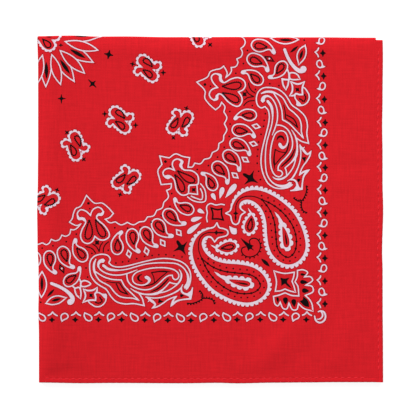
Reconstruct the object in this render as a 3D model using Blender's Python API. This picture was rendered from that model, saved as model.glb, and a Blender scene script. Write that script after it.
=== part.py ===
"""A square cotton bandana, folded in quarters and laid flat.

The cloth is one printed square with a turned and stitched hem along each edge. It is folded from
side to side and then from top to bottom, so four layers lie on each other. One fold lies along
the top, where the front quarter runs over into the back quarter. The other lies along the left
side, where each outer layer turns in under itself. The hems of all four layers lie along the
right side and the bottom side. Sizes are in millimetres, and become metres in the meshes.
"""

import math
from collections import namedtuple

import bmesh
import bpy

MM = 0.001

# The folded bandana, seen from above, at its widest.
WIDTH = 279.0
LENGTH = 280.4

# A layer of cloth with the air that it traps, and the gap kept between neighbouring pieces.
CLOTH = 1.0
GAP = 0.3
HEM_WIDTH = 5.5
HEM_RISE = 0.25  # how far a front hem stands over the cloth beside it
HEM_SHORT = 1.8  # how far the stiff hems stop short of the top fold

# The four layers are built as an upper pair and its mirror image below the middle height.
TOP = 4 * CLOTH + 3 * GAP
MIDDLE = TOP / 2
INNER_TOP = TOP - CLOTH - GAP
OUTER_FOLD = MIDDLE  # outer radius of the fold along the top
SIDE_FOLD = (TOP - MIDDLE - GAP / 2) / 2  # outer radius of each fold along the left side
INNER_FOLD = INNER_TOP - MIDDLE  # outer radius of the hidden layers' fold along the top

LEFT = -WIDTH / 2
RIGHT = WIDTH / 2
BOTTOM = -LENGTH / 2
FOLD_X = LEFT + SIDE_FOLD  # where the left folds start to turn
FOLD_Y = LENGTH / 2 - OUTER_FOLD  # where the top fold starts to turn
HEM_X = RIGHT - HEM_WIDTH
HEM_Y = BOTTOM + HEM_WIDTH
SEAM_X = HEM_X - GAP
SEAM_Y = HEM_Y + GAP

STEP = 12.5  # spacing of the sections that follow the outline
FOLD_TURN = (18, 36, 54, 72, 90)
SIDE_TURN = (30, 60, 90, 120, 150, 180)
HEM_FADE = 9.0  # stretch in which a hem's rise fades out before a fold

# How far each side lies inside the widest outline, along that side.
Edge = namedtuple("Edge", "along inset")
LEFT_EDGE = (
    Edge(-140, 1.4), Edge(-102, 1.4), Edge(-80, 0.95), Edge(-68, 1.5), Edge(-46, 1.4),
    Edge(-30, 0.5), Edge(0, 0.0), Edge(24, 0.65), Edge(56, 0.8), Edge(112, 0.7), Edge(140, 0.1),
)
RIGHT_EDGE = (
    Edge(-140, 0.0), Edge(-113, 0.1), Edge(-80, 0.4), Edge(-50, 0.45), Edge(-34, 0.85),
    Edge(0, 0.0), Edge(22, 0.5), Edge(45, 0.5), Edge(67, 0.85), Edge(90, 0.45), Edge(124, 0.1),
    Edge(140, 0.3),
)
TOP_EDGE = (
    Edge(-140, 0.3), Edge(-113, 0.0), Edge(-90, 0.75), Edge(-70, 0.6), Edge(-34, 1.25),
    Edge(34, 1.0), Edge(48, 1.45), Edge(90, 1.35), Edge(124, 1.6), Edge(140, 1.7),
)
BOTTOM_EDGE = (
    Edge(-140, 0.6), Edge(-102, 0.1), Edge(-79, 0.3), Edge(-22, 0.05), Edge(6, 0.4),
    Edge(22, 0.0), Edge(52, 0.55), Edge(80, 0.75), Edge(100, 0.95), Edge(140, 0.85),
)

# Soft swells of the front quarter: a long and a short half-size, a heading and a height.
Swell = namedtuple("Swell", "x y long short heading height")
SWELLS = (
    Swell(0, 62, 46, 20, 80, 0.35),
    Swell(-62, 10, 34, 24, 30, 0.40),
    Swell(104, 68, 48, 20, 88, 0.35),
    Swell(92, 122, 60, 9, 0, -0.20),
    Swell(112, 26, 34, 12, 5, 0.20),
    Swell(-100, -62, 46, 16, 125, -0.20),
    Swell(-84, -96, 40, 26, 95, 0.30),
    Swell(10, -104, 60, 18, 18, 0.30),
    Swell(34, -128, 52, 12, 22, -0.20),
    Swell(118, -106, 36, 14, 70, 0.25),
)
SWELL_FADE = 16.0  # distance from a fold or a seam in which the swells fade out

# A hem's section, from its seam to its free edge: the depths of its outer and inner faces.
HemPoint = namedtuple("HemPoint", "across rise outer inner")
HEM_SECTION = (
    HemPoint(0.0, 0.0, 0.0, CLOTH),
    HemPoint(0.8, 1.0, 0.0, CLOTH),
    HemPoint(HEM_WIDTH - 1.0, 1.0, 0.0, CLOTH),
    HemPoint(HEM_WIDTH, 0.0, 0.3, CLOTH - 0.3),
)

# The hidden layers' edge: heights from the middle and how far the edge draws in there.
LayerEdge = namedtuple("LayerEdge", "height inset")
HIDDEN_EDGE = (
    LayerEdge(-INNER_FOLD, 0.3), LayerEdge(-0.85, 0.0), LayerEdge(-0.25, 0.0), LayerEdge(0.0, 0.5),
    LayerEdge(0.25, 0.0), LayerEdge(0.85, 0.0), LayerEdge(INNER_FOLD, 0.3),
)

RED = (0.665, 0.015, 0.023, 1.0)
DEEP_RED = (0.56, 0.010, 0.017, 1.0)

OUTER, INNER = 0, 1
Station = namedtuple("Station", "place angle")  # a section: where it is and its turn in a fold


def clear_scene():
    for old in list(bpy.data.objects):
        bpy.data.objects.remove(old, do_unlink=True)


def ease(share):
    """A smooth step from 0 to 1."""
    share = min(max(share, 0.0), 1.0)
    return share * share * (3 - 2 * share)


def edge_inset(edge, along):
    """How far a side draws in at this place, eased between the rows of its table."""
    for low, high in zip(edge, edge[1:]):
        if along <= high.along:
            share = ease((along - low.along) / (high.along - low.along))
            return low.inset + (high.inset - low.inset) * share
    return edge[-1].inset


def settle(x, y):
    """Moves a point of the true rectangle to where it lies in the slightly uneven outline."""
    to_right = (x - LEFT) / WIDTH
    to_top = (y - BOTTOM) / LENGTH
    inward_x = edge_inset(LEFT_EDGE, y) * (1 - to_right) - edge_inset(RIGHT_EDGE, y) * to_right
    inward_y = edge_inset(BOTTOM_EDGE, x) * (1 - to_top) - edge_inset(TOP_EDGE, x) * to_top
    return x + inward_x, y + inward_y


def swell(x, y):
    """Height of the front quarter's soft swells, which fade out at its folds and seams."""
    height = 0.0
    for row in SWELLS:
        turn = math.radians(row.heading)
        away_x, away_y = x - row.x, y - row.y
        along = (away_x * math.cos(turn) + away_y * math.sin(turn)) / row.long
        across = (away_y * math.cos(turn) - away_x * math.sin(turn)) / row.short
        height += row.height * math.exp(-along * along - across * across)
    to_edge = min(x - FOLD_X, SEAM_X - x, y - SEAM_Y, FOLD_Y - y)
    return height * ease(to_edge / SWELL_FADE)


def around(station, depth, radius, heading):
    """Where a point of a layer lies along a run that turns round a fold: its place and depth."""
    reach = radius - depth
    turn = math.radians(station.angle)
    return station.place + heading * reach * math.sin(turn), radius - reach * math.cos(turn)


def straight(start, end, size):
    """Sections between two places, at spots that all the pieces of the bandana share."""
    count = round(size / STEP)
    spots = [size * (index / count - 0.5) for index in range(count + 1)]
    inside = [spot for spot in spots if start + 2 < spot < end - 2]
    return [Station(place, 0) for place in [start, *inside, end]]


def cotton(name, colour):
    material = bpy.data.materials.new(name)
    material.use_nodes = True
    shader = material.node_tree.nodes["Principled BSDF"]
    shader.inputs["Base Color"].default_value = colour
    shader.inputs["Roughness"].default_value = 0.85
    shader.inputs["Metallic"].default_value = 0.0
    return material


def add_piece(name, bm, colour):
    """Closes off a piece: outward faces, metres, its own material and a smooth finish."""
    bmesh.ops.recalc_face_normals(bm, faces=bm.faces[:])
    if bm.calc_volume(signed=True) < 0:
        bmesh.ops.reverse_faces(bm, faces=bm.faces[:])
    bmesh.ops.scale(bm, vec=(MM, MM, MM), verts=bm.verts[:])
    mesh = bpy.data.meshes.new(name)
    bm.to_mesh(mesh)
    bm.free()
    mesh.shade_smooth()
    mesh.set_sharp_from_angle(angle=math.radians(40))
    mesh.materials.append(cotton(f"{name}_cotton", colour))
    piece = bpy.data.objects.new(name, mesh)
    bpy.context.scene.collection.objects.link(piece)
    return piece


def placed(point, below):
    """A point settled in the outline and kept clear of the other half, which is its mirror."""
    x, y, z = point
    x, y = settle(x, y)
    z = max(z, MIDDLE + GAP / 2)
    return x, y, (TOP - z if below else z)


def add_wall(name, columns, rows, point, below, colour):
    """A wall of cloth: a sheet of sections, extruded once to give its inner face."""
    bm = bmesh.new()
    bmesh.ops.create_grid(bm, x_segments=len(columns) - 1, y_segments=len(rows) - 1, size=0.5)
    bm.verts.ensure_lookup_table()
    section = bm.verts.layers.int.new("section")
    for index, vert in enumerate(bm.verts):
        vert[section] = index
    copied = bmesh.ops.extrude_face_region(bm, geom=bm.faces[:])["geom"]
    inner = {item for item in copied if isinstance(item, bmesh.types.BMVert)}
    for vert in bm.verts:
        row, column = divmod(vert[section], len(columns))
        face = INNER if vert in inner else OUTER
        vert.co = placed(point(columns[column], rows[row], face), below)
    bm.verts.layers.int.remove(section)
    return add_piece(name, bm, colour)


def add_quarter(name, below, swells, colour):
    """An outer layer: it turns in at the left fold and over at the top fold."""
    side_turn = [Station(FOLD_X, angle) for angle in reversed(SIDE_TURN)]
    columns = side_turn + straight(FOLD_X, SEAM_X, WIDTH)
    rows = straight(SEAM_Y, FOLD_Y, LENGTH) + [Station(FOLD_Y, angle) for angle in FOLD_TURN]

    def point(column, row, face):
        x, depth = around(column, face * CLOTH, SIDE_FOLD, -1)
        y, depth = around(row, depth, OUTER_FOLD, 1)
        rise = 0.0
        if swells and face == OUTER and column.angle == row.angle == 0:
            rise = swell(x, y)
        return x, y, TOP - depth + rise

    return add_wall(name, columns, rows, point, below, colour)


def add_right_hem(name, below, rise, top, radius, colour):
    """A hem of the right side, which runs over the top fold with its layer."""
    turn_y = FOLD_Y - HEM_SHORT
    rows = straight(BOTTOM, turn_y, LENGTH) + [Station(turn_y, angle) for angle in FOLD_TURN]

    def point(column, row, face):
        depth = column.inner if face else column.outer - rise * column.rise
        y, depth = around(row, depth, radius, 1)
        return HEM_X + column.across, y, top - depth

    return add_wall(name, HEM_SECTION, rows, point, below, colour)


def add_bottom_hem(name, below, rise, top, folded, colour):
    """A hem of the bottom side. An outer layer's hem turns in at the left fold."""
    start = FOLD_X if folded else FOLD_X + GAP
    columns = straight(start, HEM_X - GAP, WIDTH)
    if folded:
        side_turn = [Station(FOLD_X, angle) for angle in reversed(SIDE_TURN)]
        columns = side_turn + [columns[0], Station(FOLD_X + HEM_FADE, 0), *columns[1:]]

    def point(column, row, face):
        faded = 0 if column.angle else rise * ease((column.place - FOLD_X) / HEM_FADE)
        depth = row.inner if face else row.outer - faded * row.rise
        x, depth = around(column, depth, SIDE_FOLD, -1)
        return x, HEM_Y - row.across, top - depth

    return add_wall(name, columns, HEM_SECTION, point, below, colour)


def hidden_outline(row):
    """A level section of the hidden layers, whose top side is the nose of their own fold."""
    nose = math.sqrt(max(INNER_FOLD**2 - row.height**2, 0.0))
    left, right = FOLD_X + GAP + row.inset, SEAM_X - row.inset
    low, high = SEAM_Y + row.inset, FOLD_Y + nose
    across = [station.place for station in straight(FOLD_X + GAP, SEAM_X, WIDTH)][1:-1]
    along = [station.place for station in straight(SEAM_Y, FOLD_Y, LENGTH)][1:-1]
    outline = [(left, low), *((x, low) for x in across)]
    outline += [(right, low), *((right, y) for y in along)]
    outline += [(right, high), *((x, high) for x in reversed(across))]
    outline += [(left, high), *((left, y) for y in reversed(along))]
    return [(*settle(x, y), MIDDLE + row.height) for x, y in outline]


def add_hidden_layers(name, colour):
    """The two layers inside, as one body with a groove between them along its edges."""
    bm = bmesh.new()
    lowest, *higher = [hidden_outline(row) for row in HIDDEN_EDGE]
    base = face = bm.faces.new([bm.verts.new(point) for point in lowest])
    for outline in higher:
        raised = bmesh.ops.extrude_face_region(bm, geom=[face])["geom"]
        if face is not base:
            bmesh.ops.delete(bm, geom=[face], context="FACES_ONLY")
        face = next(item for item in raised if isinstance(item, bmesh.types.BMFace))
        for vert, point in zip(face.verts, outline):
            vert.co = point
    return add_piece(name, bm, colour)


clear_scene()

add_quarter("front_quarter", below=False, swells=True, colour=RED)
add_quarter("back_quarter", below=True, swells=False, colour=RED)
add_hidden_layers("hidden_layers", DEEP_RED)

RightHem = namedtuple("RightHem", "name below rise top radius")
for hem in (
    RightHem("front_hem_right", False, HEM_RISE, TOP, OUTER_FOLD),
    RightHem("upper_inner_hem_right", False, 0, INNER_TOP, INNER_FOLD),
    RightHem("lower_inner_hem_right", True, 0, INNER_TOP, INNER_FOLD),
    RightHem("back_hem_right", True, 0, TOP, OUTER_FOLD),
):
    add_right_hem(*hem, colour=RED)

BottomHem = namedtuple("BottomHem", "name below rise top folded")
for hem in (
    BottomHem("front_hem_bottom", False, HEM_RISE, TOP, True),
    BottomHem("upper_inner_hem_bottom", False, 0, INNER_TOP, False),
    BottomHem("lower_inner_hem_bottom", True, 0, INNER_TOP, False),
    BottomHem("back_hem_bottom", True, 0, TOP, True),
):
    add_bottom_hem(*hem, colour=RED)
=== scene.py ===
"""A square cotton bandana, printed in white and black on red, folded in quarters and laid flat.

The cloth lies print side out, with a fold along its left side and its top, and turned hems along
its right side and its bottom. Sizes are in millimetres and become metres in the meshes.
"""
import cmath
import math
from collections import namedtuple

import bmesh
import bpy
import numpy as np
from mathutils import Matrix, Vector
from mathutils.geometry import delaunay_2d_cdt


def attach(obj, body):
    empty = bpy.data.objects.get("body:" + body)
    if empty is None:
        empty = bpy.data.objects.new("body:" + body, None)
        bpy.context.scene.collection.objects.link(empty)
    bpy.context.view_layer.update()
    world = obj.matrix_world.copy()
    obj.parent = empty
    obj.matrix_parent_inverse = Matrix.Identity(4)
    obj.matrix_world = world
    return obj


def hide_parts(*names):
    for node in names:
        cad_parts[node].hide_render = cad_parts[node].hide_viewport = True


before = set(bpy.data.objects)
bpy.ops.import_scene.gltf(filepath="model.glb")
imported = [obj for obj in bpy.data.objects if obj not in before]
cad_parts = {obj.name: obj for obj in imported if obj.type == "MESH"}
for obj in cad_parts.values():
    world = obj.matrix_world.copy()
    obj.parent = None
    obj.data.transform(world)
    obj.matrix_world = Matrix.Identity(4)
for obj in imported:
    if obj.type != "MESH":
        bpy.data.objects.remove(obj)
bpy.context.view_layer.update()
MM = 0.001

# ---------------------------------------------------------------------------------------------
# The table it is shown on: a white sheet of acrylic lit from within, a soft window light from
# the upper left and a pale room all round. The camera hangs straight above the bandana.
FRAME_MM = 335.7  # width of the picture at the height of the cloth
CAMERA_LENS, SENSOR = 100.0, 36.0
CAMERA_X, CAMERA_Y = -1.8, 1.25
CLOTH_TOP = 4.9   # height of the top layer's face where it lies flat
ROOM_STRENGTH = 0.24
WINDOW_STRENGTH, WINDOW_SPREAD = 3.37, 24  # spread in degrees: wide enough for soft shadows
WINDOW_FROM = Vector((-0.62, 0.86, 0.5))   # low enough for the light to model the soft folds
SOFTBOX_WATTS, SOFTBOX_SIZE = 15.0, 900.0
SOFTBOX_AT = Vector((500.0, 1300.0, 1200.0))  # near enough for its light to fade to the lower left
TABLE_SIZE, TABLE_GLOW = 2600.0, 0.9
TABLE_GAP = 0.05  # how far the table lies below the cloth, so that their faces never meet


def linear(hex_colour):
    """An sRGB hex colour as linear red, green, blue and alpha."""
    parts = [int(hex_colour[place:place + 2], 16) / 255 for place in (0, 2, 4)]
    return [c / 12.92 if c <= 0.04045 else ((c + 0.055) / 1.055) ** 2.4 for c in parts] + [1.0]


def add_node(tree, kind, settings, inputs):
    """Adds a node with its settings; an input is a value or another node's output."""
    made = tree.nodes.new(f"ShaderNode{kind}")
    for name, value in settings.items():
        setattr(made, name, value)
    for name, value in inputs.items():
        if isinstance(value, bpy.types.NodeSocket):
            tree.links.new(value, made.inputs[name])
        else:
            made.inputs[name].default_value = value
    return made


def add_object(name, data):
    """Puts a mesh, light or camera into the scene as an object."""
    made = bpy.data.objects.new(name, data)
    bpy.context.scene.collection.objects.link(made)
    return made


def mesh_from(bm, name):
    """A mesh of what was built up in bm, which is given up."""
    mesh = bpy.data.meshes.new(name)
    bm.to_mesh(mesh)
    bm.free()
    return mesh


camera = add_object("camera", bpy.data.cameras.new("camera"))
bpy.context.scene.camera = camera
camera.data.lens = CAMERA_LENS
camera.data.sensor_width = SENSOR
camera_height = FRAME_MM * CAMERA_LENS / SENSOR + CLOTH_TOP
camera.location = Vector((CAMERA_X, CAMERA_Y, camera_height)) * MM

world = bpy.data.worlds.new("pale_room")
world.use_nodes = True
world.node_tree.nodes["Background"].inputs["Color"].default_value = linear("ffffff")
world.node_tree.nodes["Background"].inputs["Strength"].default_value = ROOM_STRENGTH
bpy.context.scene.world = world
bpy.context.scene.view_settings.view_transform = "Standard"

window = add_object("window", bpy.data.lights.new("window", "SUN"))
window.data.energy = WINDOW_STRENGTH
window.data.angle = math.radians(WINDOW_SPREAD)
window.rotation_euler = WINDOW_FROM.to_track_quat("Z", "Y").to_euler()

softbox = add_object("softbox", bpy.data.lights.new("softbox", "AREA"))
softbox.data.energy = SOFTBOX_WATTS
softbox.data.size = SOFTBOX_SIZE * MM
softbox.location = SOFTBOX_AT * MM
softbox.rotation_euler = SOFTBOX_AT.to_track_quat("Z", "Y").to_euler()

bm = bmesh.new()
bmesh.ops.create_grid(bm, x_segments=1, y_segments=1, size=TABLE_SIZE / 2 * MM)
bmesh.ops.translate(bm, verts=bm.verts[:], vec=(0, 0, -TABLE_GAP * MM))
mesh = mesh_from(bm, "floor")
acrylic = bpy.data.materials.new("white_acrylic")
acrylic.use_nodes = True
shader = acrylic.node_tree.nodes["Principled BSDF"]
shader.inputs["Base Color"].default_value = linear("999999")
shader.inputs["Roughness"].default_value = 0.9
shader.inputs["Specular IOR Level"].default_value = 0.0
shader.inputs["Emission Color"].default_value = linear("ffffff")
shader.inputs["Emission Strength"].default_value = TABLE_GLOW
mesh.materials.append(acrylic)
floor = add_object("floor", mesh)
floor.visible_diffuse = False  # the glow would light the rims of the cloth from below

# ---------------------------------------------------------------------------------------------
# Printed cotton: a plain weave of fine, slightly uneven yarn, dyed red and printed with opaque
# white and black ink that sinks in between the threads. It is matt, with a faint soft sheen.
GROUND, WHITE, BLACK, WET = range(4)
THREAD = 0.62       # the real yarns lie 0.4 apart; they are drawn this coarse so that they show
SLUB = (1.3, 17.0)  # width and length of the thick places in the yarn
YARN_RELIEF = 1.6   # how much the thick places stand out, against the weave
WEAVE_RELIEF, WEAVE_DEPTH = 0.35, 0.05
CLOTH_MAP = "cloth"


def cotton(name, colour, between, slubs, sheen=0.04):
    """Plain-woven cotton: its colour, the colour between its threads and how much its yarn varies."""
    material = bpy.data.materials.new(name)
    material.use_nodes = True
    tree = material.node_tree
    shader = tree.nodes["Principled BSDF"]
    cloth = add_node(tree, "UVMap", {"uv_map": CLOTH_MAP}, {}).outputs[0]
    yarns = []
    for width, long in (SLUB, SLUB[::-1]):
        turned = add_node(tree, "Mapping", {}, {
            "Vector": cloth, "Scale": (1 / (width * MM), 1 / (long * MM), 1),
        })
        yarns.append(add_node(tree, "TexNoise", {}, {
            "Vector": turned.outputs[0], "Scale": 1.0, "Detail": 2.0, "Roughness": 0.6,
        }))
    yarn = add_node(tree, "Math", {"operation": "ADD"}, {0: yarns[0].outputs[0], 1: yarns[1].outputs[0]})
    split = add_node(tree, "SeparateXYZ", {}, {0: cloth})
    waves = []
    for axis in (0, 1):
        phase = add_node(tree, "Math", {"operation": "MULTIPLY"}, {
            0: split.outputs[axis], 1: math.pi / (THREAD * MM),
        })
        waves.append(add_node(tree, "Math", {"operation": "SINE"}, {0: phase.outputs[0]}))
    weave = add_node(tree, "Math", {"operation": "MULTIPLY"}, {
        0: waves[0].outputs[0], 1: waves[1].outputs[0],
    })
    gaps = add_node(tree, "MapRange", {}, {"Value": weave.outputs[0], "From Min": -1.0, "From Max": 0.6})
    mottle = add_node(tree, "Mix", {"data_type": "RGBA"}, {
        0: gaps.outputs[0], 6: linear(between), 7: linear(colour),
    })
    tone = add_node(tree, "MapRange", {}, {
        "Value": yarn.outputs[0], "From Min": 0.6, "From Max": 1.4,
        "To Min": 1 - slubs, "To Max": 1 + slubs,
    })
    shown = add_node(tree, "VectorMath", {"operation": "SCALE"}, {
        0: mottle.outputs[2], "Scale": tone.outputs[0],
    })
    tree.links.new(shown.outputs[0], shader.inputs["Base Color"])
    height = add_node(tree, "Math", {"operation": "MULTIPLY_ADD"}, {
        0: yarn.outputs[0], 1: YARN_RELIEF, 2: weave.outputs[0],
    })
    bump = add_node(tree, "Bump", {}, {
        "Height": height.outputs[0], "Strength": WEAVE_RELIEF, "Distance": WEAVE_DEPTH * MM,
    })
    tree.links.new(bump.outputs[0], shader.inputs["Normal"])
    shader.inputs["Roughness"].default_value = 0.88
    shader.inputs["Specular IOR Level"].default_value = 0.1
    shader.inputs["Sheen Weight"].default_value = sheen
    shader.inputs["Sheen Roughness"].default_value = 0.5
    return material


red_cotton = cotton("cotton_dyed_red", "db1d27", "cc151f", 0.13)
print_inks = [
    red_cotton,
    cotton("cotton_white_ink", "e9dde8", "d7bbcc", 0.08),
    cotton("cotton_black_ink", "0b0305", "120406", 0.06),
    cotton("cotton_red_wetted", "bc1721", "ae101a", 0.12),
]

# ---------------------------------------------------------------------------------------------
# The print: one quarter of a traditional paisley design in white and black. It is drawn flat, from
# the folded corner to the right and down, as closed outlines that are painted one over another.
# Most of the border zone is drawn once, above the diagonal, and mirrored to the half below it.
PRINT_UNIT = 0.807  # millimetres in one unit of the drawing
Shape = namedtuple("Shape", "ink outline")


def smooth(points, closed=False, step=1.0):
    """A line through given points that bends smoothly, but for a corner at a third value."""
    spots = [complex(point[0], point[1]) for point in points]
    sharp = [len(point) > 2 for point in points]
    loop = closed and not any(sharp)
    if closed and not loop:
        first = sharp.index(True)
        spots = spots[first:] + spots[: first + 1]
        sharp = sharp[first:] + sharp[: first + 1]
    count = len(spots)
    line = []
    for index in range(count if loop else count - 1):
        start, end = spots[index], spots[(index + 1) % count]
        before = spots[index - 1] if loop or index else start
        after = spots[(index + 2) % count] if loop or index + 2 < count else end
        before = start if sharp[index] else before
        after = end if sharp[(index + 1) % count] else after
        span = abs(end - start)
        leave = (end - before) * span / (span + abs(start - before))
        arrive = (after - start) * span / (span + abs(after - end))
        parts = max(1, round(span / step))
        for part in range(parts):
            share = part / parts
            rest = 1 - share
            line.append(
                start * rest * rest * (1 + 2 * share) + end * share * share * (3 - 2 * share)
                + leave * share * rest * rest - arrive * rest * share * share
            )
    return line if closed else line + [spots[-1]]


def spread(line, count, closed=False):
    """The same line as evenly spaced points."""
    spots = np.array(line + line[:1] if closed else line)
    run = np.concatenate(([0], np.cumsum(abs(np.diff(spots)))))
    places = np.interp(np.linspace(0, run[-1], count + 1), run, spots)
    return list(places[:-1] if closed else places)


def length(line, closed=False):
    """How long a line is."""
    return float(abs(np.diff(np.array(line + line[:1] if closed else line))).sum())


NEARLY_ALL = 0.999  # so that the sum of two headings is never quite nothing
LEAST_BEND = 0.9    # keeps the corners of sharp turns from flying far out


def beside(line, reach, closed=False):
    """The line moved sideways: outwards if it is closed, and to one side if it is open."""
    count = len(line)
    reaches = reach if isinstance(reach, (list, np.ndarray)) else [reach] * count
    turn = 1j
    if closed and sum((a.conjugate() * b).imag for a, b in zip(line, line[1:] + line[:1])) > 0:
        turn = -1j
    moved = []
    for index, (here, far) in enumerate(zip(line, reaches)):
        before = line[index - 1] if closed or index else here
        after = line[(index + 1) % count] if closed or index + 1 < count else here
        arriving = (here - before) or (after - here)
        leaving = (after - here) or arriving
        bend = arriving / abs(arriving) + NEARLY_ALL * leaving / abs(leaving)
        bend *= max(1, LEAST_BEND / abs(bend))
        moved.append(here + turn * far * 2 * bend / abs(bend) ** 2)
    return moved


def band(ink, line, left, right, closed=False):
    """The strip between two sideways reaches of a line."""
    one, other = beside(line, left, closed), beside(line, right, closed)
    if closed:
        return Shape(ink, one + one[:1] + other[:1] + other[:0:-1] + other[:1])
    return Shape(ink, one + other[::-1])


END_REACH = 0.45  # how far a stroke's pointed ends go on, for its width


def stroke(ink, line, width, closed=False):
    """A drawn line; several widths are spaced evenly along it."""
    if isinstance(width, tuple):
        width = np.interp(np.linspace(0, len(width) - 1, len(line)), range(len(width)), width)
    else:
        width = np.full(len(line), float(width))
    if closed:
        return band(ink, line, width / 2, -width / 2, True)
    one, other = beside(line, width / 2), beside(line, -width / 2)
    end = line[-1] - line[-2]
    start = line[0] - line[1]
    return Shape(ink, [
        *one, line[-1] + end / abs(end) * width[-1] * END_REACH,
        *other[::-1], line[0] + start / abs(start) * width[0] * END_REACH,
    ])


def inked_line(ink, points, width, closed=False):
    """A stroke along the smooth line through given points."""
    return stroke(ink, smooth(points, closed), width, closed)


def inked_patch(ink, points):
    """A patch of ink inside the smooth line round given points."""
    return Shape(ink, smooth(points, closed=True))


def straight_patch(points):
    """A patch of white ink with straight sides."""
    return Shape(WHITE, [complex(*point) for point in points])


# How far the points of an edge stand out, four to each bump, tooth or tick.
BUMPS = (0.0, 0.95, 1.05, 0.9)
SAW = (0.0, 0.95, 1.05, 1.15)
TICKS = (0.0, 0.0, 1.0, 0.6)


def edged(ink, line, width, pitch, rise, teeth, closed=True):
    """A band with bumps or ticks along its outer side."""
    repeats = max(2, round(length(line, closed) / pitch))
    line = spread(line, 4 * repeats, closed)
    outer = [width / 2 + rise * teeth[index % 4] for index in range(len(line))]
    return band(ink, line, outer, -width / 2, closed)


DROP_STEPS, LEAF_STEPS = 18, 10
DROP_TAPER, DROP_WIDEST = 1.3, 0.74  # the sines of a drop's width reach about 0.74


def drop(tip, end, half, bend=0.0):
    """The outline of a drop, from its pointed tip to the end of its bulb."""
    tip, end = complex(*tip), complex(*end)
    axis = end - tip
    side = 1j * axis / abs(axis)
    sides = ([], [])
    for index in range(DROP_STEPS + 1):
        turn = math.pi * index / DROP_STEPS
        share = (1 - math.cos(turn)) / 2
        wide = half * math.sin(turn) * math.sin(turn / 2) ** DROP_TAPER / DROP_WIDEST
        middle = tip + axis * share + side * bend * 4 * share * (1 - share)
        sides[0].append(middle + side * wide)
        sides[1].append(middle - side * wide)
    return sides[0][:-1] + sides[1][:0:-1]


TICK_PITCH, TICKED_LINE = 1.75, 0.72
TICK_OUT, TICK_IN = 0.8, 0.25


def ticked_drop(tip, end, half, bend=0.0):
    """A small drop in black line, with short ticks all round it."""
    outline = drop(tip, end, half, bend)
    outline = spread(outline, 2 * round(length(outline, True) / TICK_PITCH), True)
    ticks = [index % 2 for index in range(len(outline))]
    outer = [TICKED_LINE / 2 + TICK_OUT * tick for tick in ticks]
    inner = [-TICKED_LINE / 2 - TICK_IN * tick for tick in ticks]
    return band(BLACK, outline, outer, inner, True)


def leaf(start, end, half):
    """A leaf outline with a point at both ends."""
    start, end = complex(*start), complex(*end)
    axis = end - start
    side = 1j * axis / abs(axis)
    spots = []
    for index in range(2 * LEAF_STEPS):
        there = index <= LEAF_STEPS
        share = index / LEAF_STEPS if there else 2 - index / LEAF_STEPS
        wide = half * math.sin(math.pi * share) ** 0.9 * (1 if there else -1)
        spots.append(start + axis * share + side * wide)
    return spots


def black_leaf(start, end, half):
    """A leaf of solid black ink."""
    return Shape(BLACK, leaf(start, end, half))


STAR_TIP = 0.28j  # how far a blunt tip reaches to each side
STAR_HOLLOW = ((1.1, 0.55), (1.0, 1.0), (1.1, 1.45))  # three points: their reach and their turn


def star(centre, reach, turn=0.0, points=4, waist=0.4):
    """A black star with hollow sides; its reaches may differ from point to point."""
    reaches = reach if isinstance(reach, tuple) else (reach,) * points
    small, half = waist * min(reaches), math.pi / points
    spots = []
    for index in range(points):
        angle = math.radians(turn) + 2 * math.pi * index / points
        far = cmath.rect(reaches[index], angle)
        spots += [far * (1 - STAR_TIP / abs(far)), far * (1 + STAR_TIP / abs(far))]
        spots += [cmath.rect(small * out, angle + on * half) for out, on in STAR_HOLLOW]
    return Shape(BLACK, [complex(*centre) + spot for spot in spots])


def dot(centre, radius, ink=BLACK, count=7):
    """A round dot, as a polygon with count sides."""
    turns = [2 * math.pi * index / count for index in range(count)]
    return Shape(ink, [complex(*centre) + cmath.rect(radius, turn) for turn in turns])


def ringed(line, width):
    """A closed white outline with bare ground inside it."""
    return [Shape(WHITE, beside(line, width / 2, True)), Shape(GROUND, beside(line, -width / 2, True))]


def white_ring(points, width):
    """A white outline along the smooth line round given points."""
    return ringed(smooth(points, closed=True), width)


def placed_at(shapes, centre, turn):
    """Shapes turned, and moved from the origin to a centre."""
    spin = cmath.rect(1, math.radians(turn))
    return [Shape(s.ink, [complex(*centre) + spot * spin for spot in s.outline]) for s in shapes]


# The medallion round the folded corner: open petals with leaves in and between them, and a heart.
MEDALLION_MIDDLE = 8.4 + 0.4j
PETAL = ((22, 6.0), (13.5, 4.9), (6.5, 2.8), (0, 0), (6.5, -2.8), (13.5, -4.9), (22, -6.0))
medallion = []
for tip in ((64.5, -0.6), (56.1, 26.3), (37.2, 45.5), (8.8, 50.6), (-16, 45)):
    heading = complex(*tip) - MEDALLION_MIDDLE
    far = abs(heading)
    heading /= far
    points = []
    for back, aside in PETAL:
        spot = MEDALLION_MIDDLE + heading * complex(far - back, aside)
        points.append((spot.real, spot.imag, *([] if back else [1])))
    medallion.append(inked_line(WHITE, points, 1.3))
for start, end in (
    ((36, -1.2), (51, -0.9)), ((33, 13.4), (48.4, 22)), ((23, 23.6), (32.9, 37.9)),
    ((9.2, 26), (9.6, 43)),
):
    medallion.append(black_leaf(start, end, 1.75))
for start, end in (
    ((28, -5.5), (61, -14)), ((28.2, 5.5), (60.8, 14.2)), ((23.2, 14.7), (47.4, 37.1)),
    ((14.8, 18.8), (23.5, 48.3)), ((5.3, 19.3), (-1.8, 49.4)),
):
    medallion += ringed(leaf(start, end, 4.5), 1.3)
heart = smooth([
    (1, 4.5), (3, 7.5), (6, 11.5), (10.5, 14.3), (15, 13.6), (18, 10), (17, 6.4), (15.6, 4.2, 1),
    (19.3, 4), (22.3, 1.2), (22, -4), (10, -9), (-2, -6), (-4, 1),
], closed=True)
medallion += [
    edged(WHITE, heart, 1.5, 3.8, 1.1, BUMPS), stroke(BLACK, drop((5.7, 3.2), (13, 11), 2.8), 1.3, True),
    star((23.8, 9.2), (2.1, 1.6, 2.1, 1.6), waist=0.6), black_leaf((8.7, 0.6), (15.5, 0.6), 0.8),
]

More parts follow.
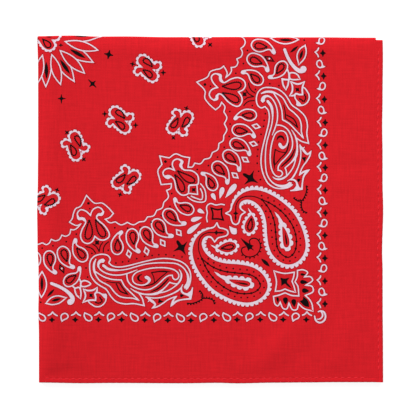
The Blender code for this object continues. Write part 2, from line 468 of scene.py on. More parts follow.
# The field between the medallion and the border zone: scattered twin paisleys and stars.
TWIN_HALF = (
    (-4.5, -3.9, 1), (-5.8, -7.5), (-5.7, -10.6), (-3.9, -13.1), (-0.7, -14.3), (2.5, -13.3), (4.8, -10),
    (6.3, -6.1), (7.5, -2.8), (8.0, 0, 1), (10.6, -1.0), (13.2, 0.9), (12.4, 4.0), (9.5, 5.8), (6.3, 5.2),
)


def twins(centre, turn):
    """Two small paisleys head to tail, in one bumpy outline."""
    points = [*TWIN_HALF, *((-p[0], -p[1], *p[2:]) for p in TWIN_HALF)]
    outline = smooth(points, closed=True)
    shapes = [edged(WHITE, outline, 1.3, 4.0, 1.3, BUMPS)]
    for side in (1, -1):
        shapes.append(ticked_drop((side * 4.7, side * 0.6), (side * 0.7, side * -9.6), 2.5, side * 0.8))
    return placed_at(shapes, centre, turn)


scattered = []
for centre, turn in (
    ((110.6, 32.4), -28), ((83.0, 83.9), -28), ((38.2, 109.7), 0), ((142.9, 86.5), 57),
    ((89.0, 143.3), 72), ((7.8, 164), 85), ((160.8, -4), -3),
):
    scattered += twins(centre, turn)
for centre, reach, turn in (
    ((71.8, 18.6), 4.6, 12), ((55.5, 47.8), (5.2, 4.3, 6.0, 4.1), 45),
    ((24.4, 62.6), (4.2, 4.8, 3.5, 4.0), 0), ((95.6, 28), 2.6, 10), ((126.2, 36.7), 2.7, 0),
    ((67.7, 77.9), 2.7, 0), ((98.6, 89.2), 2.6, 0), ((29.9, 96.5), 2.5, 45), ((173.1, 8.8), 2.7, 45),
    ((149.5, 72.2), 2.5, 20), ((136.4, 101.8), 2.4, 45), ((20.2, 154), 2.3, 20), ((83.1, 158.6), 2.4, 20),
    ((46.8, 123.4), 2.4, 45),
):
    scattered.append(star(centre, reach, turn, waist=0.46))


# The border zone above the diagonal, from its scalloped edge outwards.
def scallops(cusps, bulge):
    """Points for a row of arcs that meet in cusps."""
    points = []
    for start, end in zip(cusps, cusps[1:]):
        first, last = complex(*start), complex(*end)
        middle = (first + last) / 2 - 1j * (last - first) * bulge
        points += [(*start, 1), (middle.real, middle.imag)]
    return points + [(*cusps[-1], 1)]


half = []
half.append(inked_line(WHITE, [
    (203.7, 12.6), (205.4, 16.5), (204.1, 20.6), (199.7, 23, 1), (200.9, 26.6), (198.6, 30.6),
    (194.1, 31.5, 1), (194.5, 34.4), (192.8, 37.9), (188.7, 41.5, 1), (190.2, 37.6), (188.9, 33.8),
    (186.6, 30.1, 1), (183.2, 32.7), (178.6, 33.6), (173.2, 35.8), (170.4, 41), (159.8, 46.1, 1),
    (167.9, 54.8), (167.8, 62), (172.5, 68.5), (178.4, 73.8, 1), (182.6, 70.5),
    *scallops(((184.6, 66.4), (186.8, 75.9), (187.3, 87.8), (186.7, 99.7), (181.9, 107.5), (175.3, 116.6),
               (167.2, 123.3)), 0.23),
], 1.3))


def paisley_pair(outline, curls, drops):
    """Two paisleys joined at their scrolled heads."""
    shapes = white_ring(outline, 1.45)
    shapes += [inked_line(WHITE, curl, (1.4, 3.0, 3.0, 1.6)) for curl in curls]
    return shapes + [ticked_drop(*drop_sizes) for drop_sizes in drops]


half += paisley_pair(
    ((180.5, 51.5, 1), (176, 46.4), (174.3, 41), (177.2, 37.9), (181.5, 38.2), (183.8, 41), (183, 44.4),
     (187, 46.6), (194.2, 43), (201, 41.6), (206.7, 44.4), (208.4, 49.3), (205.9, 53.8), (201.4, 55.9, 1),
     (204.5, 60.5), (204.9, 65.5), (202, 69.9), (197.9, 70), (190.9, 65.6), (184.6, 58.6), (181.2, 58),
     (179.6, 61.2), (178, 64), (174.4, 62.6), (172.2, 58.6), (173.8, 54.6), (176.6, 52.6)),
    (((179.5, 37.8), (183.2, 39.4), (183.4, 43), (186, 46)),
     ((182, 58.2), (180, 59.6), (179.8, 62.6), (176.6, 64.4))),
    (((185.4, 50.2), (203.9, 48.7), 3.5, 0.8), ((185.4, 57), (201.6, 65.3), 3.3, -0.2)),
)
half += [dot((167.9, 48.5), 1.4), dot((173.5, 50.3), 0.8), star((207.6, 58.3), 2.7, 45, waist=0.6)]
for line in (
    ((211.5, 47), (212.3, 50.8), (214.4, 54.4), (218.2, 57.1)),
    ((208.9, 53.8), (211.8, 57.8), (216.6, 60.6)), ((207.4, 63.9), (210.6, 61.7), (216.6, 60.7)),
    ((206.7, 69.8), (209.4, 66.7), (212.8, 65), (217.2, 64.7)),
):
    half.append(inked_line(BLACK, line, 0.95))

# The drops of the border's inner and outer rows, all from one outline.
DROP_OUTLINE = (
    (203.9, 88.4), (207.9, 89.3), (211.4, 91.6), (214.6, 95.1), (217.0, 99.0), (217.8, 101.4),
    (216.6, 102.4), (215.0, 101.4), (213.6, 99.0), (211.8, 98.3), (209.4, 98.7), (206.6, 99.8),
    (203, 100.4), (199.4, 99.6), (196.3, 97.1), (195.1, 93.8), (196.6, 90.2), (199.9, 88.4),
)
DROP_TAIL = ((215.0, 98.2), (216.0, 100), (216.6, 101.5))
DROP_BULB, DROP_END = 201.4 + 94.2j, 217.2 + 102.2j


def row_drop(bulb, tail, mirrored=False):
    """A drop with a bent tail: white outline, solid white tail end and a ticked drop inside."""
    centre, end = complex(*bulb), complex(*tail)
    reach = DROP_END - DROP_BULB
    spin = (end - centre) / (reach.conjugate() if mirrored else reach)

    def placed_spot(spot):
        away = spot - DROP_BULB
        return centre + (away.conjugate() if mirrored else away) * spin

    outline = [placed_spot(spot) for spot in smooth(DROP_OUTLINE, True)]
    tail_line = [placed_spot(spot) for spot in smooth(DROP_TAIL)]
    tip, far = placed_spot(209.9 + 96.0j), placed_spot(198.6 + 94.2j)
    return [
        *ringed(outline, 1.4), stroke(WHITE, tail_line, (1.2, 2.7, 3.0)),
        ticked_drop((tip.real, tip.imag), (far.real, far.imag), 2.8 * abs(spin)),
    ]


row_drops = []
for bulb, tail, mirrored in (
    ((220.9, 9.4), (237.5, 17.6), False), ((216.4, 23.6), (230.9, 35.6), False),
    ((220.3, 43.6), (204.4, 36.5), True), ((213.5, 79.2), (197.4, 83.4), True),
    ((201.4, 94.2), (217.8, 101.6), False), ((199, 108.1), (212.8, 119.5), False),
    ((191.9, 120.1), (202.2, 135.3), False), ((181, 131.7), (190.2, 148), False),
    ((175.3, 149), (164.2, 137.2), True), ((12.7, 221), (19.6, 237.2), True),
    ((26.5, 216.8), (37.4, 231.6), True), ((45, 219.6), (38.7, 202.8), False),
    ((80.3, 212.2), (85.3, 195.4), False), ((95.4, 199.3), (102.8, 216.2), True),
    ((109, 197), (121, 210.4), True), ((121, 189.1), (136.2, 200), True),
    ((132.2, 178.8), (149, 187.2), True), ((150.8, 173.2), (137.6, 162), False),
):
    row_drops += row_drop(bulb, tail, mirrored)

# White diamonds with a smaller diamond of bare ground in each, then the dots between the motifs.
DIAMOND, DIAMOND_HOLE = (5.2, 3.3j, -5.2, -3.3j), 0.48
diamond = [Shape(WHITE, DIAMOND), Shape(GROUND, [corner * DIAMOND_HOLE for corner in DIAMOND])]
for centre, heading in (
    ((219.1, 90.3), 13), ((216.4, 107.8), 15), ((208.2, 123.6), 35), ((198, 139.4), 40),
):
    half += placed_at(diamond, centre, heading)
for centre in (
    (210.4, 14.5), (206.4, 27.5), (198.8, 37.3), (192.8, 75.5), (193.1, 88.1), (192.1, 100.4),
    (187.2, 111.4), (180.5, 121.2), (171.4, 129.6), (232.8, 47.8), (241.9, 49.6), (218.4, 53.4),
    (215.3, 69.6), (228.3, 77.7), (227.2, 84.3), (226.5, 90.3), (224, 98.3), (221.6, 106.1),
    (220.9, 113.5), (220.2, 120.1), (220.2, 127.2), (221.6, 135.2), (223.4, 143.6), (267.2, 4),
):
    half.append(dot(centre, 0.82))
for tip, end, wide in (
    ((188, 162.2), (199, 148.2), 2.9), ((182.6, 163), (185.9, 151.2), 2.5),
    ((178.8, 164.6), (174.8, 157.4), 2.2),
):
    half.append(Shape(WHITE, drop(tip, end, wide)))
half.append(inked_patch(BLACK, [
    (205.8, 137.6), (208.4, 137.4), (212.4, 139.2), (216.9, 134.4, 1), (216.2, 141.5), (221.4, 147.2, 1),
    (214.6, 145.6), (207.2, 148.6, 1), (210.6, 143.4), (206.4, 139.6),
]))

# The large paisley in the corner: a toothed white shell that grows out of a scroll, with a beaded
# vein inside it, and a solid heart and a small child paisley beside its stem.
shell = smooth([
    (188.4, 177.2, 1), (193.2, 174.6), (195, 168.8), (199.1, 161.4), (206.5, 155.4), (216.7, 152.8),
    (227.2, 154.5), (237.7, 159.4), (248, 166.8), (256.6, 175), (263.4, 186), (268, 198), (269.8, 210),
    (267.2, 219.6), (260.5, 227), (251.5, 229.8), (242.6, 227), (235.2, 220.2), (231, 211.6), (229, 200),
    (228, 186.5), (224.8, 175.8), (218.6, 168.2), (210.6, 164.8), (204.6, 167), (203.4, 172),
    (208.4, 176.3, 1),
])
TOOTH_PITCH, TOOTH_RISE, SHELL_LINE = 4.5, 1.9, 1.2
repeats = 4 * round(length(shell) / TOOTH_PITCH)
shell = spread(shell, repeats)
outer, inner = [], []
for index in range(repeats + 1):
    grown = min(1, index / 24, max(0, repeats - index - 6) / 6)  # teeth grow from both ends
    rise = 1.0 + TOOTH_RISE * SAW[index % 4] * grown
    width = SHELL_LINE * min(1, 0.5 + index / 50, 0.5 + (repeats - index) / 20)
    outer.append(-rise * width / 1.15)
    inner.append(width)
half.append(Shape(WHITE, beside(shell, outer) + beside(shell, inner)[::-1]))
half.append(inked_line(WHITE, [
    (188.4, 177.2, 1), (193.4, 179.8), (194.4, 184), (196, 187.3), (198.7, 188.5), (201.3, 187.2),
    (202.7, 183.4), (204, 179.4), (208.4, 176, 1),
], 1.5))
half.append(inked_line(BLACK, [
    (198.9, 177.5), (199.2, 168.6), (203.3, 162.6), (210.4, 160.3), (218, 160.8), (225, 163.6),
], 0.8))
half += [star((198.7, 177.4), 2.3, 0, waist=0.62), black_leaf((198.6, 178), (198.6, 185), 0.85)]
vein = smooth([
    (225, 163.6, 1), (234.2, 167.9), (243.3, 174.4), (251, 182.6), (257, 193), (259.4, 205),
    (257.6, 215.8), (251.4, 221.3), (244.2, 217.8), (240, 210.4), (238.8, 198), (237, 184.7),
    (232.5, 173.6),
], closed=True)
half.append(stroke(BLACK, vein, 1.0, closed=True))
beads = [(spot, 1.2, 6) for spot in spread(vein, 20, True)]
beads += [(spot, 0.85, 5) for spot in spread(beside(vein, 4.0, True), 26, True)[1:-1]]
for spot, radius, sides in beads:
    half.append(dot((spot.real, spot.imag), radius, count=sides))
heart = smooth([
    (245.2, 189.2, 1), (248.8, 194.4), (251.5, 201.1), (252.5, 206.1), (251.8, 210), (249.6, 211.6),
    (247.4, 210.6), (246, 206.1), (245.6, 200.6), (245.2, 195),
], closed=True)
half += [
    edged(WHITE, beside(heart, 0.8, True), 1.7, 6.0, 2.1, BUMPS),
    Shape(BLACK, drop((248.1, 196.4), (249.9, 209), 0.8)),
]
half.append(straight_patch([
    (237.4, 175.4), (241.4, 178.8), (246.6, 186.6), (246.4, 190.8), (243.6, 190.6), (241.6, 186),
    (241.2, 182.6), (239.2, 179.8),
]))
child = smooth([
    (214.4, 178.6, 1), (216.4, 181.6), (217.8, 185.2), (218.3, 188.8), (217.2, 192.4), (215, 195.6),
    (212.2, 196.8), (209.4, 195.6), (207.8, 192.8), (207.6, 189.6), (209, 185.6), (211.4, 182),
], closed=True)
half += [
    edged(WHITE, beside(child, 0.6, True), 1.3, 4.4, 1.9, BUMPS),
    Shape(WHITE, drop((210.8, 171.8), (214.8, 178.4), 0.9)),
    ticked_drop((214.4, 182.6), (212.3, 194.0), 2.1),
]

# The scroll leaf: long nested lines that curl up at their ends. Each goes by its points and its
# width, or the widths that it swells and thins through.
SCROLL_INK = 1.22  # the ink makes each white line this much wider
for line, width in (
    (((228, 70.5, 1), (224.2, 71.9), (220.5, 69), (219.3, 62.8), (221.2, 56), (226.2, 52), (233.2, 51.5),
      (240.9, 53.1), (247.2, 57.6), (251.4, 63.3), (254.9, 68.9), (262.6, 74.5), (268.3, 80.8),
      (270.5, 89), (269.9, 97.6), (271.6, 107.3, 1), (264.7, 105.3), (259.1, 101.8)), 1.15),
    (((228, 70.5), (231.2, 74.4), (232.3, 80), (231.7, 87), (229.4, 96.6), (226.8, 106.6), (224.6, 117),
      (224, 127), (225.7, 136.4), (230.2, 146.2), (236, 151), (242.6, 152.6), (249.4, 151.9),
      (253.6, 150.2), (255.4, 148.4)), 1.15),
    (((225.8, 65), (226.1, 62.4), (227.9, 60.6), (231, 60.1), (234.6, 62.2), (238, 67.2), (240.2, 74.4),
      (240.4, 82.6), (238.8, 89.7), (235.2, 99.2)),
     (3.6, 2.4, 1.15, 1.15, 1.15, 1.15, 1.15, 1.15, 1.15, .6)),
    (((224.2, 57.6), (228.6, 55.5), (234, 55.4), (239, 57.2), (245.6, 61.8), (249.3, 68), (252.1, 72.6),
      (257.6, 77.2), (262.6, 83), (264.3, 89), (264.5, 96), (266.3, 101.8, 1), (259.1, 94.5),
      (252.1, 87.5), (245.6, 83.7, 1), (244.8, 74.5), (242.1, 66.1), (236.6, 57.2)), 1.15),
    (((225, 57.4), (230.9, 55.7), (236.4, 56.3), (239.5, 57.6)), (.7, 1.6, 2.0, 1.3)),
    (((230.4, 65), (234.2, 70.2), (235.6, 78.4), (234.8, 88), (232.2, 97.4), (229.6, 107), (228.4, 118),
      (228.5, 129), (229.9, 138), (234, 145), (239.4, 148.9), (245, 150.3), (249.8, 149.7),
      (253.4, 147.4)), (2.2, 2.2, 1.1, 1.1, 1.1, 1.1, 1.1, 1.1, 1.1, 1.1, 1.2, 2.4, 3.0)),
    (((236.7, 101), (234.9, 107), (233.5, 115), (233.3, 125), (234.7, 133.4), (237.7, 138.8),
      (241.6, 140.8), (244.6, 139.5), (245.5, 137.2), (243.9, 134.9), (241.1, 134.2, 1), (241.3, 130.6),
      (243.5, 127), (248.3, 122.2), (252.2, 117.6), (254.9, 112.4), (255.6, 106.8), (254.4, 100.4),
      (251.6, 94.6), (247.4, 90.8), (243.4, 89.3), (239.4, 89)), 1.15),
    (((236.4, 101.8), (237.8, 98.6), (240.2, 96), (243.9, 94.7), (248.1, 96.2), (250.3, 100.1),
      (250.8, 105.1), (249.1, 109.6), (246.1, 111.6), (243.9, 110.4), (242.7, 107.9)),
     (1.15, 1.15, 1.1, 1.1, 1.1, 1.1, 1.2, 1.6, 2.7, 2.7)),
    (((254.3, 93.4), (256.6, 96.8), (258.5, 100.6), (259.8, 105), (260.3, 110), (260.1, 115),
      (258.9, 120.2), (256.4, 124), (252.6, 128), (248.1, 131.9, 1), (249.2, 134.8), (249.8, 139)),
     (.5, 1.2, 1.5, 1.3, 1.5, 2.2, 2.0, 1.2, 1.15, 1.15, 1.15)),
    (((263, 108.6), (263.9, 117), (263.4, 123.4), (261.8, 129.2), (259.5, 135), (257, 139.6), (254, 143),
      (250.4, 144.9)), (1.1, 1.1, 1.1, 1.15, 1.5, .7)),
    (((263, 109.4, 1), (265.8, 113), (268.2, 116.3), (270.7, 118.1), (273.8, 115.7, 1), (272.8, 120),
      (269.4, 125.7), (266.1, 130.1), (263.9, 134.6), (262.6, 138.8, 1), (266, 136.2), (271.2, 134.5, 1),
      (267.2, 139.4), (265.7, 145), (264.9, 153, 1), (259, 153.9), (253.4, 154.7)),
     (1.0, 2.2, 1.4, 1.2, 1.15, 1.1, 1.2, 1.9, 1.7, 1.2, 1.4, 1.8, .9)),
    (((264.4, 152.8), (261.4, 151.8), (260.2, 148.6), (259.2, 145.8), (256.8, 143.8), (253.4, 143.6)),
     (1.2, 2.4, 1.5, 1.6, 1.2)),
    (((259, 119), (258.4, 124), (257.2, 128.6), (255, 133.2), (252.3, 137), (249.6, 139.9), (246, 142.3),
      (241.9, 143.3), (238, 142.5), (235.5, 140.7)), (1.4, 1.1, 1.1, 1.1, 1.2, 1.7, 1.5, .6)),
    (((264.8, 113), (267.9, 110.9)), (1.6, .5)),
):
    widths = tuple(SCROLL_INK * part for part in width) if isinstance(width, tuple) else SCROLL_INK * width
    half.append(inked_line(WHITE, line, widths))
for line, width in (
    (((246.8, 68.9), (248.2, 76), (248.6, 82.2, 1), (255, 86.6), (260.7, 91.3, 1), (257.2, 83.6),
      (249.6, 78.9)), (.7, 1.0, 1.0, 1.2, 1.1)),
    (((238.2, 113.3), (237, 123), (237.7, 133.2)), (1.1, 1.1, 1.7, .4)),
    (((238.2, 113.3), (242.4, 115.6), (247.9, 116.6)), 0.8),
    (((252.1, 106.8), (249.3, 115.9), (243, 122.8), (238.1, 128.6)), (.8, 1.3, 1.0, .8)),
    (((257.9, 113.1), (254.4, 120.5), (249.6, 125.8), (244.5, 130.4)), (.7, 1.6, 1.6, 1.0)),
    (((239.9, 104), (241.1, 101.5), (243.5, 100.3), (246.1, 101.6), (247.4, 104.8)),
     (.5, 1.6, 2.2, 1.6, .5)),
):
    half.append(inked_line(BLACK, line, width))
half += [star((267.2, 122.6), (3.2, 2.6, 2.3), 80, 3, .6), star((261.7, 144), (2.1, 1.8, 1.8), 100, 3, .7)]
half.append(straight_patch([
    (253.2, 154.7), (257, 152.8), (259.4, 149.4), (261.6, 151.8), (264.6, 152.8), (264.4, 153.9),
    (258.6, 154.3),
]))

# The sprig in the middle of each side. Some of its parts are printed unlike in the two halves, and
# are drawn for each half by itself, as side_leaves.
side_leaves = ringed(leaf((233.4, 1.6), (261.4, 3.6), 5.2), 1.4)
side_leaves += ringed(leaf((5.1, 235.6), (4.6, 261.2), 4.9), 1.4)
side_leaves += [black_leaf((242, 3.8), (255.6, 4.1), 1.2), black_leaf((5, 240.4), (5, 255), 1.35)]
for corners, middle in (
    (((228, 20.7, 1), (233.6, 21, 1), (236.5, 25.2, 1), (230.4, 24.6, 1)), (232.3, 22.6)),
    (((23.1, 228.9, 1), (27, 232.2, 1), (26.8, 236.5, 1), (22.7, 232.8, 1)), (24.9, 232.4)),
):
    side_leaves += [inked_line(BLACK, corners, 1.15, True), dot(middle, 1.0, WHITE)]
side_leaves.append(dot((5.2, 212.2), 0.82))
for points, width in (
    (((252.9, 37.2), (257.3, 36.9), (260.8, 39), (262.9, 43.1, 1), (258.2, 43.6), (253.2, 42.8)), 1.55),
    (((245.2, 43.6, 1), (246.2, 49), (248.9, 53.2, 1), (250.9, 49), (251.8, 43.6, 1)), 1.7),
    (((43.8, 246.8), (45.8, 244.9), (48.6, 244.7), (51.6, 245.9), (53.7, 247.9), (50.8, 249.8),
      (47.4, 250.6), (44.4, 250)), 1.55),
    (((37.9, 252.3), (38.3, 255.7), (39.9, 259.3), (43.3, 262.2, 1), (44, 258.4), (43.6, 254),
      (41.9, 251.3), (39.7, 251.8)), 1.6),
):
    side_leaves += white_ring(points, width)
for line in (
    ((244.8, 42.6), (247.6, 43.3), (252.6, 43.6)), ((250.4, 33.4), (251.6, 36.5), (252, 40), (252, 43.5)),
    ((42.6, 243), (43.9, 246.6), (43.5, 250.4), (43.4, 254)), ((35.4, 250), (36.8, 251), (38.2, 252.8)),
):
    side_leaves.append(inked_line(WHITE, line, 1.55))
half.append(black_leaf((253.2, 16.6), (261.2, 10), 1.2))
half += white_ring([
    (268, 9.2, 1), (262.6, 13.4), (260, 19.8), (261.9, 28.4, 1), (267.4, 22.4), (269.2, 15.4),
], 1.4)
half.append(black_leaf((265.6, 14.4), (262.8, 23.4), 1.3))
half.append(inked_line(WHITE, [
    (247.4, 13.2), (250.9, 21.7), (256, 29.6), (262, 34.6), (266.6, 34.6), (266.8, 31.4),
], (2.9, 3.1, 3.2, 3.5, 4.4, 3.6)))
half += [dot((266.4, 33), 3.3, WHITE, 10), *row_drop((244.8, 30.8), (231.4, 41.2))]
half += white_ring([
    (267, 51.6), (270, 54.9), (272, 58.6), (272.2, 62.4), (270.6, 66), (267.6, 68.5), (264, 69.4),
    (260.4, 69), (259.8, 65), (257.9, 61.2), (259, 56), (262.6, 52.4),
], 1.4)
half.append(straight_patch([
    (259, 62.6), (261, 64.8), (263.4, 66.9), (265, 69), (262, 69.8), (258.9, 68.9), (259.8, 66.4),
]))
hook = smooth([(262.2, 62.4), (264.6, 63.6), (266.6, 65.2), (268.2, 63.4), (268.5, 60.8), (267.2, 58.2)])
half.append(edged(BLACK, hook, 0.9, 1.7, 0.8, TICKS, False))
half += white_ring([
    (254.2, 46, 1), (260.8, 48), (267, 46.2, 1), (265.4, 52), (265.6, 58.4, 1), (262.3, 58.5),
    (259, 57.6), (256.8, 59.4), (253.2, 59.4, 1), (255.3, 55), (255.4, 50),
], 1.8)
half.append(star((260.5, 53.6), (2.9, 2.2, 2.4, 2.0), 40, waist=0.7))

# A twig with short hairs along each of its three branches.
for line in (
    ((264.7, 165), (267.4, 161), (269.6, 154.5), (269.3, 149.6)),
    ((264.7, 165), (264.6, 170.6), (266.4, 175), (270.3, 176.6)),
    ((264.8, 164.4), (261, 165.2), (256.3, 161.9)),
):
    half.append(edged(BLACK, smooth(line), 0.95, 2.6, 1.5, TICKS, False))

# Where the lower half strays from the mirrored upper half, as real prints do: place, how far round
# it, and by how much.
STRAYS = (
    (28 + 250j, 24, 1.2 + 1.2j), (62 + 182j, 14, -1.0 - 0.8j), (168 + 202j, 18, -1.4 - 0.9j),
    (86 + 264j, 14, -1.2 - 0.9j), (224 + 246j, 22, 0.8 + 1.2j), (192 + 264j, 15, 1.4 + 0.7j),
    (146 + 224j, 10, -0.2 - 0.9j),
)

# The print lies a little askew on the quarter: how x and y of the lower half come from x and y of
# the upper half, and how far they are moved on.
TWIN_X, TWIN_Y = (-0.033, 1.005, 8.4), (0.989, -0.006, 1.7)


def over_the_diagonal(spot):
    """A point of the lower half from its twin in the upper half."""
    x, y = spot.real, spot.imag
    twin = complex(TWIN_X[1] * y + TWIN_X[0] * x + TWIN_X[2], TWIN_Y[0] * x + TWIN_Y[1] * y + TWIN_Y[2])
    strays = [stray * math.exp(-((abs(twin - place) / reach) ** 2)) for place, reach, stray in STRAYS]
    return twin + sum(strays)


quarter = medallion + scattered + half + row_drops
quarter += [Shape(shape.ink, [over_the_diagonal(spot) for spot in shape.outline]) for shape in half]
quarter += side_leaves
for line, width in (
    (((200.5, -4), (205.7, 1), (208.2, 5.6), (207, 9.6), (203.7, 12.6)), 1.3),
    (((-3, 208.6), (1.7, 208.2), (5.4, 206.9), (9.2, 208.6), (12.4, 207), (14.4, 203.2)), 1.3),
    (((-1.6, 215.4), (2.4, 218.4), (3.7, 223), (2.4, 228), (-1.4, 230.6)), 1.4),
):
    quarter.append(inked_line(WHITE, line, width))

# What lies on the diagonal: the point of the scalloped edge, a pair of paisleys and a few leaves.
frame_line = smooth([
    *scallops(((167.2, 123.3), (157.7, 127.2), (151, 131.2)), 0.26), (152.6, 121.7, 1), (145.6, 120.4),
    (138.6, 117.9), (132.2, 121.9, 1), (122.7, 120, 1), (124.9, 128.4, 1), (120.9, 134.6), (122.3, 142),
    (124.1, 148.6, 1), *scallops(((134.4, 147.7), (129.7, 154.4), (126.8, 166.3)), 0.26),
])
quarter.append(stroke(WHITE, frame_line, 1.35))
quarter += paisley_pair(
    ((137.4, 134.2, 1), (135.3, 128.6), (136.7, 124.6), (140.9, 123), (144.6, 125.2), (144.4, 129),
     (146.5, 133.6), (155, 134.9), (160.6, 139.4), (161.4, 147), (159.8, 148.9), (152.1, 149.6),
     (151.4, 157.3), (145.1, 159.1), (139.8, 154.4), (138.1, 147.4), (136.8, 143.2), (134, 140.9),
     (131, 142.4), (127.9, 140.9), (125.9, 137.2), (127.6, 133.9), (132, 132.4)),
    (((141.6, 123.1), (145, 125.6), (143.6, 129.6), (145.6, 133.2)),
     ((134.8, 140.9), (131.4, 140.4), (128, 140.2))),
    (((140.6, 134.9), (157.4, 145.6), 3.2, 1.0), ((137.9, 138.8), (146, 155.6), 3.0, -0.9)),
)
quarter += white_ring([(152.1, 149.6, 1), (159.9, 148.8, 1), (160.6, 158.4, 1), (151.4, 157.3, 1)], 1.35)
quarter += [
    star((156.6, 153.9), 2.3, 45, waist=0.6), dot((128.4, 125.6), 1.4), dot((133.3, 130.6), 0.9),
    dot((160.2, 133.5), 0.82), dot((134.7, 157.6), 0.82),
]
for line in (
    ((163.4, 152.6), (165.4, 158), (164.6, 163.4), (159, 162.2), (154, 160.1)),
    ((163.4, 147.6), (167.5, 153.1), (168.9, 160.1), (168, 165.2), (162.6, 166.2), (155.6, 164.4),
     (150.4, 160.8)),
    ((187.6, 168.8), (183.9, 168.2), (178.9, 169), (173.6, 167.5), (170.1, 169.6), (169.5, 172.6),
     (170.3, 176.8), (169.5, 181.2), (170.3, 186)),
):
    quarter.append(inked_line(WHITE, line, 1.35))
quarter.append(inked_line(BLACK, [
    (174.2, 172, 1), (180.4, 173.7), (184.7, 172.8, 1), (184.5, 178), (186.2, 184, 1), (181, 182.9),
    (175.4, 183, 1), (175.8, 177.6),
], 1.45, True))
quarter.append(inked_patch(WHITE, [
    (192, 189.8, 1), (196.4, 191.8), (199.7, 192.6, 1), (199.4, 197.9), (195, 197.9), (193, 194),
]))
curl = smooth([
    (213, 208), (212.4, 205), (214.6, 202.7), (218, 202.3), (221.6, 204.6), (223.3, 209.3),
    (222.6, 214.4), (219.6, 218.4), (216, 220.4), (211.1, 220.9), (206.9, 219.1), (204.5, 215.4),
    (205.3, 212), (208.4, 210.8),
])
quarter.append(stroke(BLACK, curl, 1.0))
for spot, out in list(zip(spread(curl, 15), spread(beside(curl, -1.7), 15)))[4:13]:
    quarter.append(stroke(BLACK, [spot, out], (0.7, 1.2)))
quarter.append(inked_patch(BLACK, [
    (203.4, 201.9, 1), (208.4, 205.3), (213, 208.2), (216.6, 209.8, 1), (214.8, 211.4), (217, 214.6, 1),
    (213.2, 212.9), (211.2, 215, 1), (209.7, 211), (206.8, 206.8),
]))
quarter.append(black_leaf((224.2, 222.7), (232.7, 230.5), 1.7))

# The lotus in the corner of the quarter: a crown of petals with a black drop in each, and a square
# bud with a star inside.
quarter += white_ring([
    (260.4, 234.4, 1), (266, 233.8), (270.6, 236.4), (267.6, 240.8, 1), (273.4, 240.8), (275.6, 244.4),
    (268.7, 249.2, 1), (275, 250.4), (276, 255.6), (268.2, 259.4, 1), (272.4, 263.4), (275, 268.4),
    (275.8, 275, 1), (267, 272.5), (261.4, 267.6, 1), (259.8, 273.4), (255.4, 273.6), (251.9, 267, 1),
    (249.8, 272.8), (246, 272.4), (243.2, 266.2, 1), (240.8, 269.8), (237.8, 267.8), (236.4, 260.4, 1),
    (241.6, 259.2), (248, 256.8, 1), (254.6, 259.4), (261.8, 259.9, 1), (260.8, 250.2), (258, 245.9, 1),
    (260.2, 240.6),
], 1.4)
for tip, end, wide in (
    ((268.8, 239), (263.6, 238.2), 1.2), ((271, 246.4), (263.2, 245.8), 2.0),
    ((272.4, 255), (265, 254.4), 2.3), ((241, 267), (240.4, 261.4), 1.2),
    ((248.8, 268.8), (248.2, 261.4), 2.5), ((257.4, 271), (256.4, 263.2), 2.4),
):
    quarter.append(Shape(BLACK, drop(tip, end, wide)))
quarter.append(inked_patch(BLACK, [
    (266.2, 260.6, 1), (269.4, 263), (271.5, 266.6), (272, 271, 1), (267.4, 269.9), (262.6, 265, 1),
    (265.6, 263.8),
]))
quarter += white_ring([
    (237, 235, 1), (247.4, 237.4), (257.3, 236.2, 1), (256.6, 240.8), (255, 245.4, 1), (256.9, 250),
    (258.4, 256.2, 1), (253, 255), (247.9, 253, 1), (243.4, 254.8), (238.3, 255.2, 1), (239.4, 245.5),
], 1.4)
quarter.append(inked_patch(BLACK, [
    (243.2, 241.7, 1), (247.8, 242.6), (252.2, 241.7, 1), (250, 245.9), (253.8, 251.8, 1), (248.3, 247.7),
    (244.4, 249.8, 1), (244.2, 245),
]))
quarter.append(black_leaf((246.6, 245), (254.4, 252.2), 1.0))

# The rows of stars, brackets and small rings along the right hem and the bottom hem.
RING = ((-2.7, -0.2), (-2.0, -2.6), (0, -3.7), (1.9, -2.5), (2.7, -0.3), (2.9, 1.7), (1.3, 3.6), (-1.4, 2.7))
NIB = ((2.4, 0.4), (3.9, 1.5), (6.2, 2.4), (4.4, 3.6), (1.9, 4.2), (1.6, 2.8))
SIDE_BRACKET = ((-4.2, -5.3), (-5.2, -3.1), (-7.7, -1.0, 1), (-5.4, 1.4), (-4.4, 3.8))
BOTTOM_BRACKET = ((-3.9, -4.4), (-1.3, -5.6), (0.7, -7.7, 1), (2.8, -5.5), (5.4, -4.1))
BRACKET_LINE, ROW_RING_LINE, ROW_WAIST = 1.45, 1.4, 0.64
SIDE_FIRST, SIDE_STEP, SIDE_X = 17.15, 22.84, 285.8
SIDE_STRAYS = (0, 0, 0, 0.4, 0.8, 0.6, 0.3, 0, 0, -0.5, -0.5, -0.5, -0.5)  # down, for each star
BOTTOM_FIRST, BOTTOM_STEP, BOTTOM_Y = 15.3, 23.08, 283.6


def moved(points, x, y):
    """Given points, moved on by x and y."""
    return [(x + point[0], y + point[1], *point[2:]) for point in points]


def nibbed_ring(centre, side):
    """A small ring with a nib at its foot, which points to the right or, for side -1, the left."""
    shapes = [*white_ring(RING, ROW_RING_LINE), straight_patch(NIB)]
    flipped = [Shape(s.ink, [complex(side * spot.real, spot.imag) for spot in s.outline]) for s in shapes]
    return placed_at(flipped, centre, 0)


